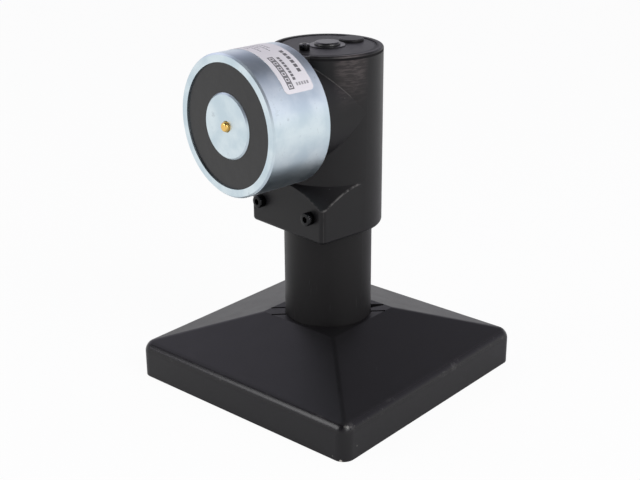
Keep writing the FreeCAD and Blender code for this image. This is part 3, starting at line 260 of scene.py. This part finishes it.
def head_wear_and_highlights(finish):
    """The head's rubbed edges and painted highlights, the patch under its lid that hands touch, brown with a
    painted sheen, and its dull seam and groove.
    """
    x, y, z = finish.parts(finish.place(HEAD_TURN))
    radius = (x * x + y * y) ** 0.5
    ahead = 0 - y

    # The edge between the conical cuts and the walls of the square front
    cone = abs(z - BLOCK_TOP + (radius - HEAD_RADIUS) * FACET_SLOPE)
    past_side = abs(x) * math.cos(SIDE_LEAN) + ahead * math.sin(SIDE_LEAN)
    past_side = (past_side - (HEAD_RADIUS - FRONT_CORNER)).most(0)
    past_front = (ahead - (FRONT_REACH - FRONT_CORNER)).most(0)
    wall = abs((past_side * past_side + past_front * past_front) ** 0.5 - FRONT_CORNER)
    facet = (cone + wall).rise(0.8 * MM, 0.2 * MM) * ahead.rise(2 * MM, 6 * MM)
    facet = facet * abs(x).rise(0.3 * HEAD_RADIUS, 0.6 * HEAD_RADIUS)
    facet = facet * (0.35 + 0.65 * past_side.rise(0, FRONT_CORNER))

    # Painted highlights: pale lines down the upright corner of the square front, on the crest beside the
    # boss, and round the rim
    upright = (abs(past_side - past_front - 0.6 * MM) + wall).rise(0.5 * MM, 0.2 * MM)
    upright = upright * z.rise(BLOCK_TOP, BLOCK_TOP - 14 * MM)
    crest = (abs(y + z - MAGNET_HEIGHT) + abs(radius - HEAD_RADIUS)).rise(0.7 * MM, 0.2 * MM)
    crest = crest * z.rise(MAGNET_HEIGHT + 6 * MM, MAGNET_HEIGHT + 12 * MM)
    rim = (abs(z - HEAD_TOP) + abs(radius - HEAD_RADIUS)).rise(1.4 * MM, 0.5 * MM)
    # Pale: rubbed wear on the edges of the cuts, together with the painted highlights
    rub_and_highlight = facet.most(0.15 * rim).most(0.65 * crest).most(0.2 * upright)

    # The patch that hands touch, on the wall beside the boss: brown, with scaly glints that are a painted
    # sheen
    facing = (0.951 * x + 0.309 * ahead) / radius
    handled_sheen = facing.rise(0.93, 0.995) * z.rise(HEAD_TOP - 30 * MM, HEAD_TOP - 5 * MM)
    handled_sheen = handled_sheen * radius.rise(LID_EDGE + 1 * MM, HEAD_RADIUS - 1 * MM)

    # The seam round the lid, plainest in front, and the groove under the rim
    seam = (abs(radius - LID_EDGE) - 0.8 * MM).rise(0.5 * MM, 0.2 * MM)
    seam = seam * z.rise(HEAD_TOP - 2 * MM, HEAD_TOP - 1 * MM)
    seam = seam * (0.15 + 0.85 * ahead.rise(0, 0.5 * LID_EDGE))
    groove = abs(z - (HEAD_TOP - 1.7 * MM)).rise(0.8 * MM, 0.4 * MM)
    groove = groove * radius.rise(LID_EDGE + 2 * MM, HEAD_RADIUS)
    return rub_and_highlight * (1 - groove), handled_sheen * (1 - groove), 1.4 * seam.most(groove)


# Chips on the foot cover's near corner and eave: place and size in mm, and how pale each is
CHIPS = (
    ((72, -71.6, 19), 0.7, 0.1), ((73, -70.5, 18.7), 0.8, 0.14), ((73.7, -69, 18.3), 0.8, 0.1),
    ((74, -66.7, 17.9), 0.6, 0.07), ((75, -65.8, 6.8), 0.6, 0.2), ((71.6, -74.3, 0.4), 0.8, 1),
    ((66.7, -75, 1.9), 0.45, 0.25), ((74, -60.1, 17.8), 0.5, 0.04), ((74.1, -56, 17.7), 0.5, 0.04),
    ((74, -44.4, 17.8), 0.5, 0.04),
)


def cover_wear_and_highlight(finish):
    """Eaves of the foot cover, polished, and pale in patches that are rubbed wear with a painted highlight.
    """
    spot = finish.place()
    x, y, z = finish.parts(spot)
    reach = abs(x).most(abs(y))
    eave = (abs(z - SKIRT_HEIGHT) + abs(reach - BASE_HALF)).rise(4.5 * MM, 2.4 * MM)
    scuff_and_highlight = finish.noise(spot, 7 * MM, 3.0).rise(0.58, 0.7)
    # The pale patches along the eaves are rubbed wear and a painted highlight; the polish lowers roughness
    return 0.3 * eave * scuff_and_highlight, 0 * x, -0.5 * eave


def painted_tube():
    """Black powder paint on steel tube, with faint marks from sliding the head along it."""
    finish = Finish("column_paint")
    spot = finish.place()
    cloud = finish.noise(spot, 18 * MM, 3.0)
    streak = finish.noise(finish.place(stretch=(1, 1, 0.05)), 0.9 * MM, 2.0)
    pebble = finish.noise(spot, 0.8 * MM, 2.0)
    scratch = streak.rise(0.68, 0.76) * cloud.rise(0.45, 0.6)
    colour = finish.blend(0.35 * scratch, (0.0055, 0.005, 0.0052), (0.06, 0.06, 0.06))
    return finish.surface({
        "Base Color": colour, "Roughness": 0.42 + 0.12 * cloud - 0.05 * scratch, "Specular IOR Level": 0.24,
        "Normal": finish.bump(pebble + 0.5 * streak, 0.02 * MM)})


def turned_zinc():
    """Turned steel with bright blue zinc plate: fine lathe lines round the magnet's axis, faint stains."""
    finish = Finish("zinc_plate")
    spot = finish.place(HEAD_TURN)
    x, y, z = finish.parts(spot)
    height = z - MAGNET_HEIGHT
    radius = (x * x + height * height) ** 0.5
    round_lines = finish.node("ShaderNodeCombineXYZ", None, {"X": y, "Y": radius, "Z": 0.02 * x})
    lathe = finish.noise(round_lines, 0.3 * MM, 3.0)
    cloud = finish.noise(spot, 11 * MM, 4.0)
    stain = finish.noise(spot, 3 * MM, 4.0).rise(0.6, 0.72) * cloud.rise(0.5, 0.62)
    colour = finish.blend(cloud.rise(0.3, 0.7), (0.55, 0.655, 0.715), (0.68, 0.77, 0.81))
    colour = finish.blend(stain * 0.35, colour, (0.3, 0.33, 0.36))
    return finish.surface({
        "Base Color": colour, "Metallic": 1.0, "Roughness": 0.27 + 0.1 * cloud + 0.06 * lathe + 0.12 * stain,
        "Normal": finish.bump(lathe, 0.006 * MM)})


# Rows of print on the label, in mm: how far in from its back edge, half height, start, end and pitch
PRINT_ROWS = (
    (3.6, 1.1, 9.3, 26.7, 2.9), (9.4, 0.85, 14.5, 30.3, 1.98), (6.2, 0.35, -30, 5, 1.9),
    (8.6, 0.35, -30, 8, 2.3), (11, 0.35, -30, 3, 1.7), (13.4, 0.35, -30, 7, 2.1), (15.8, 0.35, -30, 1, 1.8),
)
# The row of small square frames with a dot in each, in mm
FRAME_ROW, FRAME_START, FRAME_COUNT, FRAME_PITCH, FRAME_HALF = 13.6, 13.6, 6, 3.5, 1.6
# The short upright row of thin bars at the label's end, in mm
MARK_ALONG, MARK_HALF, MARK_DEPTH, MARK_LENGTH, MARK_PITCH = 32.4, 0.85, 5.6, 4.1, 1.68


def foil_label():
    """Pale foil with rows of plain dark blocks and a row of small square frames."""
    finish = Finish("label_foil")
    x, y, z = finish.parts(finish.place(HEAD_TURN))
    angle = finish.node("ShaderNodeMath", {"operation": "ARCTAN2"}, {0: x, 1: z - MAGNET_HEIGHT})
    along = angle * (MAGNET_RADIUS / MM)
    depth = (0 - y - (MAGNET_BACK + LABEL_START)) / MM
    ink = 0 * x
    for row, half, start, end, pitch in PRINT_ROWS:
        here = abs(depth - row).rise(half + 0.1, half - 0.1)
        here = here * abs(along - (start + end) / 2).rise((end - start) / 2 + 0.1, (end - start) / 2 - 0.1)
        block = (along - start).off_middle(pitch).rise(0.42 * pitch, 0.34 * pitch)
        ink = ink.most(here * block)
    across = (along - FRAME_START).off_middle(FRAME_PITCH)
    edge = across.most(abs(depth - FRAME_ROW))
    frames = abs(edge - (FRAME_HALF - 0.2)).rise(0.42, 0.25).most(edge.rise(0.75, 0.5))
    length = FRAME_COUNT * FRAME_PITCH / 2
    ink = ink.most(frames * abs(along - (FRAME_START + length)).rise(length, length - 0.05))
    mark = abs(along - MARK_ALONG).rise(MARK_HALF + 0.1, MARK_HALF - 0.1)
    mark = mark * abs(depth - MARK_DEPTH).rise(MARK_LENGTH + 0.1, MARK_LENGTH - 0.1)
    ink = ink.most(0.7 * mark * depth.off_middle(MARK_PITCH).rise(0.65, 0.5))
    cloud = finish.noise(finish.place(), 6 * MM, 3.0)
    foil = finish.blend(cloud, (0.73, 0.71, 0.73), (0.79, 0.77, 0.79))
    return finish.surface({
        "Base Color": finish.blend(ink * 0.85, foil, (0.04, 0.04, 0.045)), "Metallic": 0.1,
        "Roughness": 0.42 + 0.08 * cloud})


def cast_resin():
    """Black potting resin with a level, slightly wavy face."""
    finish = Finish("potting_resin")
    spot = finish.place()
    wave = finish.noise(spot, 6 * MM, 2.0)
    haze = finish.noise(spot, 1.2 * MM, 4.0)
    return finish.surface({
        "Base Color": finish.blend(haze.rise(0.5, 0.8) * 0.5, (0.006, 0.006, 0.0065), (0.016, 0.015, 0.015)),
        "Roughness": 0.24 + 0.16 * haze, "Normal": finish.bump(wave, 0.12 * MM)})


FINISHES = {
    "foot_flange": plain_finish("cast_aluminium", (0.5, 0.51, 0.52), 0.9, 0.48, 0.1, 0.7, 0.05),
    "foot_set_screws": plain_finish("black_oxide", (0.024, 0.024, 0.025), 1.0, 0.2, 0.2, 0.3, 0.004),
    "base_cover": moulded_black("cover_moulding", cover_wear_and_highlight, 0.35, CHIPS),
    "column_tube": painted_tube(),
    "head_housing": moulded_black("head_moulding", head_wear_and_highlights, 0.27),
    "clamp_nuts": plain_finish("zinc_steel", (0.62, 0.66, 0.7), 1.0, 0.32, 0.08, 0.4, 0.006),
    "magnet_pot": turned_zinc(),
    "potting_ring": cast_resin(),
    "coil_bobbin": plain_finish("natural_nylon", (0.74, 0.71, 0.62), 0.0, 0.45, 0.05, 0.5, 0.008),
    "magnet_coil": plain_finish("enamelled_copper", (0.62, 0.22, 0.08), 0.8, 0.28, 0.2, 0.35, 0.06, 0.4),
    "ejector_pin": plain_finish("turned_brass", (0.8, 0.52, 0.16), 1.0, 0.24, 0.1, 0.3, 0.01),
    "ejector_spring": plain_finish("spring_wire", (0.5, 0.51, 0.53), 1.0, 0.28, 0.1, 0.3, 0.004),
    "rating_label": foil_label(),
    "push_button": plain_finish("smooth_black", (0.006, 0.006, 0.0065), 0.0, 0.3, 0.2, 0.8, 0.003),
    "contact_bridge": plain_finish("silver_plate", (0.78, 0.77, 0.72), 1.0, 0.3, 0.06, 0.3, 0.004),
    "terminal_board": plain_finish("board_laminate", (0.45, 0.33, 0.12), 0.0, 0.4, 0.1, 0.6, 0.01),
    "terminal_block": plain_finish("green_moulding", (0.03, 0.2, 0.07), 0.0, 0.38, 0.08, 0.4, 0.008),
}
SAME_FINISH = {
    "head_lid": "head_housing", "blanking_plug": "head_housing", "lid_screw": "foot_set_screws",
    "clamp_screws": "foot_set_screws", "clamp_jaw": "foot_flange", "magnet_bolt": "clamp_nuts",
    "switch_nut": "clamp_nuts", "terminal_screws": "clamp_nuts", "bolt_washer": "ejector_spring",
    "button_spring": "ejector_spring", "lead_bush": "coil_bobbin", "switch_base": "coil_bobbin",
    "switch_body": "push_button", "suppressor_diode": "push_button", "switch_contacts": "contact_bridge",
}
for name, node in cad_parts.items():
    node.data.materials.clear()
    node.data.materials.append(FINISHES[SAME_FINISH.get(name, name)])


# Pieces that geometry nodes make: rows of screws, and coil springs


class Grower:
    """A geometry node tree being built, with named inputs and one geometry output."""

    def __init__(self, name, inputs):
        self.tree = bpy.data.node_groups.new(name, "GeometryNodeTree")
        for label, kind in inputs.items():
            self.tree.interface.new_socket(label, in_out="INPUT", socket_type="NodeSocket" + kind)
        self.tree.interface.new_socket("Geometry", in_out="OUTPUT", socket_type="NodeSocketGeometry")
        self.given = self.tree.nodes.new("NodeGroupInput").outputs

    def node(self, kind, values):
        """Adds a node. A value that is a socket is linked, and any other is set."""
        made = self.tree.nodes.new(kind)
        for key, value in values.items():
            if isinstance(value, bpy.types.NodeSocket):
                self.tree.links.new(value, made.inputs[key])
            else:
                made.inputs[key].default_value = value
        return made.outputs[0] if made.outputs else None

    def end(self, geometry):
        """Makes copies real, gives them the input material and links the output."""
        real = self.node("GeometryNodeRealizeInstances", {"Geometry": geometry})
        self.node("NodeGroupOutput", {"Geometry": self.node(
            "GeometryNodeSetMaterial", {"Geometry": real, "Material": self.given["Finish"]})})

    def grow(self, name, data, values):
        """Runs the tree on a mesh with the given inputs and returns the result as a plain piece."""
        maker = bpy.data.objects.new(name + "_maker", data)
        bpy.context.scene.collection.objects.link(maker)
        modifier = maker.modifiers.new("grow", "NODES")
        modifier.node_group = self.tree
        for socket in self.tree.interface.items_tree:
            if socket.in_out == "INPUT" and socket.name in values:
                modifier[socket.identifier] = values[socket.name]
        graph = bpy.context.evaluated_depsgraph_get()
        made = bpy.data.meshes.new_from_object(maker.evaluated_get(graph))
        bpy.data.objects.remove(maker)
        piece = bpy.data.objects.new(name, made)
        bpy.context.scene.collection.objects.link(piece)
        return piece


def ring(mesh, radius, height, sides):
    """A ring of points round Z. The radius is a number, or a function of the angle."""
    points = []
    for i in range(sides):
        angle = 2 * math.pi * i / sides
        reach = radius(angle) if callable(radius) else radius
        points.append(mesh.verts.new((reach * math.cos(angle), reach * math.sin(angle), height)))
    return points


def screw_mesh(name, thread, length, head, height, key):
    """A knurled socket screw whose head stands on z = 0, in metres, as a mesh."""
    sides = 96
    knurl = 0.03 * head

    def hexagon(angle):
        return key / 2 / math.cos((angle + math.pi / 6) % (math.pi / 3) - math.pi / 6)

    def ridges(angle):
        return head - knurl * (round(angle / (2 * math.pi) * sides) % 4 > 1)

    edge = 0.09 * height
    mesh = bmesh.new()
    loops = [
        ring(mesh, hexagon, 0.45 * height, sides), ring(mesh, hexagon, height - 0.3 * edge, sides),
        ring(mesh, lambda angle: hexagon(angle) + 0.3 * edge, height, sides),
        ring(mesh, head - 2 * edge, height, sides),
        ring(mesh, head - 0.9 * edge, height - 0.4 * edge, sides),
        ring(mesh, ridges, height - 1.6 * edge, sides), ring(mesh, ridges, edge, sides),
        ring(mesh, head - 0.8 * edge, 0, sides), ring(mesh, thread, 0, sides),
        ring(mesh, thread, 0.4 * thread - length, sides), ring(mesh, 0.7 * thread, -length, sides)]
    for upper, lower in zip(loops, loops[1:]):
        for i in range(sides):
            j = (i + 1) % sides
            mesh.faces.new((upper[i], lower[i], lower[j], upper[j]))
    mesh.faces.new(loops[0])
    mesh.faces.new(loops[-1][::-1])
    bmesh.ops.recalc_face_normals(mesh, faces=mesh.faces)
    data = bpy.data.meshes.new(name)
    mesh.to_mesh(data)
    mesh.free()
    data.shade_smooth()
    data.set_sharp_from_angle(angle=math.radians(32))
    return data


def row_grower():
    """Repeats a mesh along a line."""
    grower = Grower("screw_row", {"Geometry": "Geometry", "Count": "Int", "Start": "Vector",
                                  "Step": "Vector", "Finish": "Material"})
    given = grower.given
    line = grower.node("GeometryNodeMeshLine", {"Count": given["Count"], "Start Location": given["Start"],
                                                "Offset": given["Step"]})
    grower.end(grower.node("GeometryNodeInstanceOnPoints", {"Points": line, "Instance": given["Geometry"]}))
    return grower


def coil_grower():
    """Winds a wire into a coil that stands on z = 0."""
    grower = Grower("wire_coil", {"Turns": "Float", "Radius": "Float", "Wire": "Float", "Height": "Float",
                                  "Finish": "Material"})
    given = grower.given
    path = grower.node("GeometryNodeCurveSpiral", {
        "Resolution": 40, "Rotations": given["Turns"], "Start Radius": given["Radius"],
        "End Radius": given["Radius"], "Height": given["Height"]})
    section = grower.node("GeometryNodeCurvePrimitiveCircle", {"Resolution": 12, "Radius": given["Wire"]})
    grower.end(grower.node("GeometryNodeCurveToMesh", {
        "Curve": path, "Profile Curve": section, "Fill Caps": True}))
    return grower


SCREW_ROW = row_grower()
WIRE_COIL = coil_grower()


def screw_row(name, data, turn, start, step, count, replaced):
    """A row of screws on the head, as one piece that stands for a CAD node."""
    data.transform(HEAD @ turn)
    piece = SCREW_ROW.grow(name, data, {
        "Count": count, "Start": HEAD @ Vector(start), "Step": HEAD @ Vector(step),
        "Finish": FINISHES["foot_set_screws"]})
    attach(piece, "head")
    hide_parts(replaced)


def spring(name, node, foot, way, radius, turns, travel):
    """A coil spring that stands for a CAD node."""
    way = Vector(way).normalized()
    foot = Vector(foot)
    length = max((corner.co - foot).dot(way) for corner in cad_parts[node].data.vertices)
    piece = WIRE_COIL.grow(name, bpy.data.meshes.new(name + "_seed"), {
        "Turns": turns, "Radius": radius, "Wire": SPRING_WIRE, "Height": length - 2 * SPRING_WIRE,
        "Finish": FINISHES["ejector_spring"]})
    lift = Matrix.Translation((0, 0, SPRING_WIRE))
    piece.data.transform(Matrix.Translation(foot) @ way.to_track_quat("Z", "X").to_matrix().to_4x4() @ lift)
    piece.data.shade_smooth()
    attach(piece, "head")
    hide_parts(node)
    1 - travel / length
    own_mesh(piece)


screw_row("knurled_clamp_screws", screw_mesh("clamp_screw", 2 * MM, 10 * MM, 3.5 * MM, 4 * MM, 3 * MM),
          Matrix.Rotation(math.radians(90), 4, "X"), (-CLAMP_SPACING / 2, -FRONT_REACH, CLAMP_HEIGHT),
          (CLAMP_SPACING, 0, 0), 2, "clamp_screws")
screw_row("knurled_lid_screw", screw_mesh("lid_screw", 1.5 * MM, 8 * MM, 2.75 * MM, 3 * MM, 2.5 * MM),
          Matrix.Identity(4), (0, -LID_SCREW_REACH, LID_TOP), (0, 0, 0), 1, "lid_screw")
spring("coiled_button_spring", "button_spring", (0, 0, BUTTON_SPRING_FOOT), (0, 0, 1), 3.3 * MM, 5.0,
       1.5 * MM)
spring("coiled_ejector_spring", "ejector_spring", HEAD @ Vector((0, -EJECTOR_SPRING_FOOT, MAGNET_HEIGHT)),
       HEAD @ Vector((0, -1, 0)), 3.1 * MM, 6.0, 2 * MM)


# Floor, light and camera

FLOOR_HALF = 8.0
FLOOR_DROP = 0.1 * MM
FLOOR_GLOW = 0.95
# The floor's painted shadow, as gloss sees it: its middle, how far it is drawn out along Y, and its radii
SHADE_MIDDLE = (0.06, 0.06)
SHADE_STRETCH = 0.42
SHADE_RADII = (0.03, 0.3)
SHADE_LEAST = 0.15
# Directions in which the studio is darker or holds a soft box, and each box's strength
CAMERA_SIDE = (0.655, -0.755, 0.35)
SOFT_BOXES = (((-0.8, 0.1, 0.6), 1.1), ((0.5, 0.53, 0.68), 0.52))
BOX_EDGE = (0.86, 0.97)


def stage_floor():
    """A pale floor that shows white. What mirrors it sees a painted shadow on it, darker beside and behind
    the foot.
    """
    data = bpy.data.meshes.new("floor")
    corners = [(-FLOOR_HALF, -FLOOR_HALF, -FLOOR_DROP), (FLOOR_HALF, -FLOOR_HALF, -FLOOR_DROP),
               (FLOOR_HALF, FLOOR_HALF, -FLOOR_DROP), (-FLOOR_HALF, FLOOR_HALF, -FLOOR_DROP)]
    data.from_pydata(corners, [], [(0, 1, 2, 3)])
    floor = bpy.data.objects.new("floor", data)
    bpy.context.scene.collection.objects.link(floor)
    finish = Finish("floor_white")
    spot = finish.place()
    x, y = finish.parts(spot)[:2]
    # Painted shadow: gloss sees the floor darker near the foot, down to SHADE_LEAST of its white
    away = ((x - SHADE_MIDDLE[0]) ** 2 + (SHADE_STRETCH * (y - SHADE_MIDDLE[1])) ** 2) ** 0.5
    white = finish.background_rays(SHADE_LEAST + (1 - SHADE_LEAST) * away.rise(*SHADE_RADII))
    ground = finish.node("ShaderNodeBsdfPrincipled", None, {
        "Base Color": finish.blend(finish.noise(spot, 0.4), (0.84, 0.84, 0.84), (0.86, 0.86, 0.86)),
        "Roughness": 0.7})
    glow = finish.node("ShaderNodeEmission", None, {"Strength": 1.0})
    shown = finish.node("ShaderNodeMixShader", None, {0: white * FLOOR_GLOW, 1: ground, 2: glow})
    finish.end("ShaderNodeOutputMaterial", shown)
    data.materials.append(finish.material)


def studio_world():
    """White round the horizon, darker overhead and on the camera's side, with two soft boxes."""
    world = bpy.data.worlds.new("studio")
    sky = Shading(world)
    way = sky.node("ShaderNodeTexCoord", output="Generated")
    up = sky.parts(way)[2]

    def towards(direction):
        axis = Vector(direction).normalized()
        return sky.node("ShaderNodeVectorMath", {"operation": "DOT_PRODUCT"}, {0: way, 1: axis}, "Value")

    level = 0.1 + 0.85 * up.rise(0.85, 0.05)
    level = level * (1 - 0.5 * towards(CAMERA_SIDE).rise(0.35, 0.85))
    for direction, strength in SOFT_BOXES:
        level = level.most(strength * towards(direction).rise(*BOX_EDGE))
    tint = sky.node("ShaderNodeMix", {"data_type": "RGBA"},
                    {"Factor": up.rise(0, 0.3), 6: (1, 1, 1, 1), 7: (1, 0.965, 1.13, 1)}, output=2)
    studio = sky.node("ShaderNodeBackground", None, {"Color": tint, "Strength": level})
    white = sky.node("ShaderNodeBackground", None, {"Color": (1, 1, 1, 1), "Strength": 1.0})
    backdrop = sky.background_rays() * up.rise(0.25, 0.1)
    shown = sky.node("ShaderNodeMixShader", None, {0: backdrop, 1: studio, 2: white})
    sky.end("ShaderNodeOutputWorld", shown)
    bpy.context.scene.world = world


def lamp(name, place, aim, size, power):
    """A square soft lamp that shines from place towards aim."""
    data = bpy.data.lights.new(name, "AREA")
    data.shape = "SQUARE"
    data.size = size
    data.energy = power
    item = bpy.data.objects.new(name, data)
    item.location = place
    item.rotation_euler = (Vector(aim) - Vector(place)).to_track_quat("-Z", "Y").to_euler()
    bpy.context.scene.collection.objects.link(item)


# The photograph's camera, as fitted to the object's measured edges: angles in degrees, focal length
# in pixels, distance in metres, and where its middle ray meets the plane through the column's axis
AZIMUTH, ELEVATION, ROLL = 40.96, 21.30, -0.304
FOCAL_PIXELS = 1188.36
PHOTO_WIDTH = 640
SENSOR_WIDTH = 36
CAMERA_DISTANCE = 655.46 * MM
AIM_RIGHT = -4.338 * MM
AIM_HEIGHT = 77.735 * MM


def photo_camera():
    """The camera at the photograph's viewing angle."""
    azimuth, elevation, roll = (math.radians(angle) for angle in (AZIMUTH, ELEVATION, ROLL))
    back = Vector((math.sin(azimuth) * math.cos(elevation), -math.cos(azimuth) * math.cos(elevation),
                   math.sin(elevation)))
    right = Vector((math.cos(azimuth), math.sin(azimuth), 0))
    up = back.cross(right).normalized()
    target = right * AIM_RIGHT + Vector((0, 0, AIM_HEIGHT))
    across = right * math.cos(roll) + up * math.sin(roll)
    above = up * math.cos(roll) - right * math.sin(roll)
    data = bpy.data.cameras.new("photo_camera")
    data.sensor_width = SENSOR_WIDTH
    data.lens = SENSOR_WIDTH * FOCAL_PIXELS / PHOTO_WIDTH
    data.clip_start = 0.01
    camera = bpy.data.objects.new("photo_camera", data)
    turn = Matrix((across, above, back)).transposed().to_4x4()
    camera.matrix_world = Matrix.Translation(target + back * CAMERA_DISTANCE) @ turn
    bpy.context.scene.collection.objects.link(camera)
    bpy.context.scene.camera = camera


stage_floor()
studio_world()
lamp("key_lamp", (1.12, -0.14, 0.9), (0, 0, 0.1), 0.8, 12)
lamp("fill_lamp", (-0.6, -1.05, 0.7), (0, 0, 0.08), 0.6, 5)
photo_camera()
bpy.context.scene.view_settings.view_transform = "Standard"
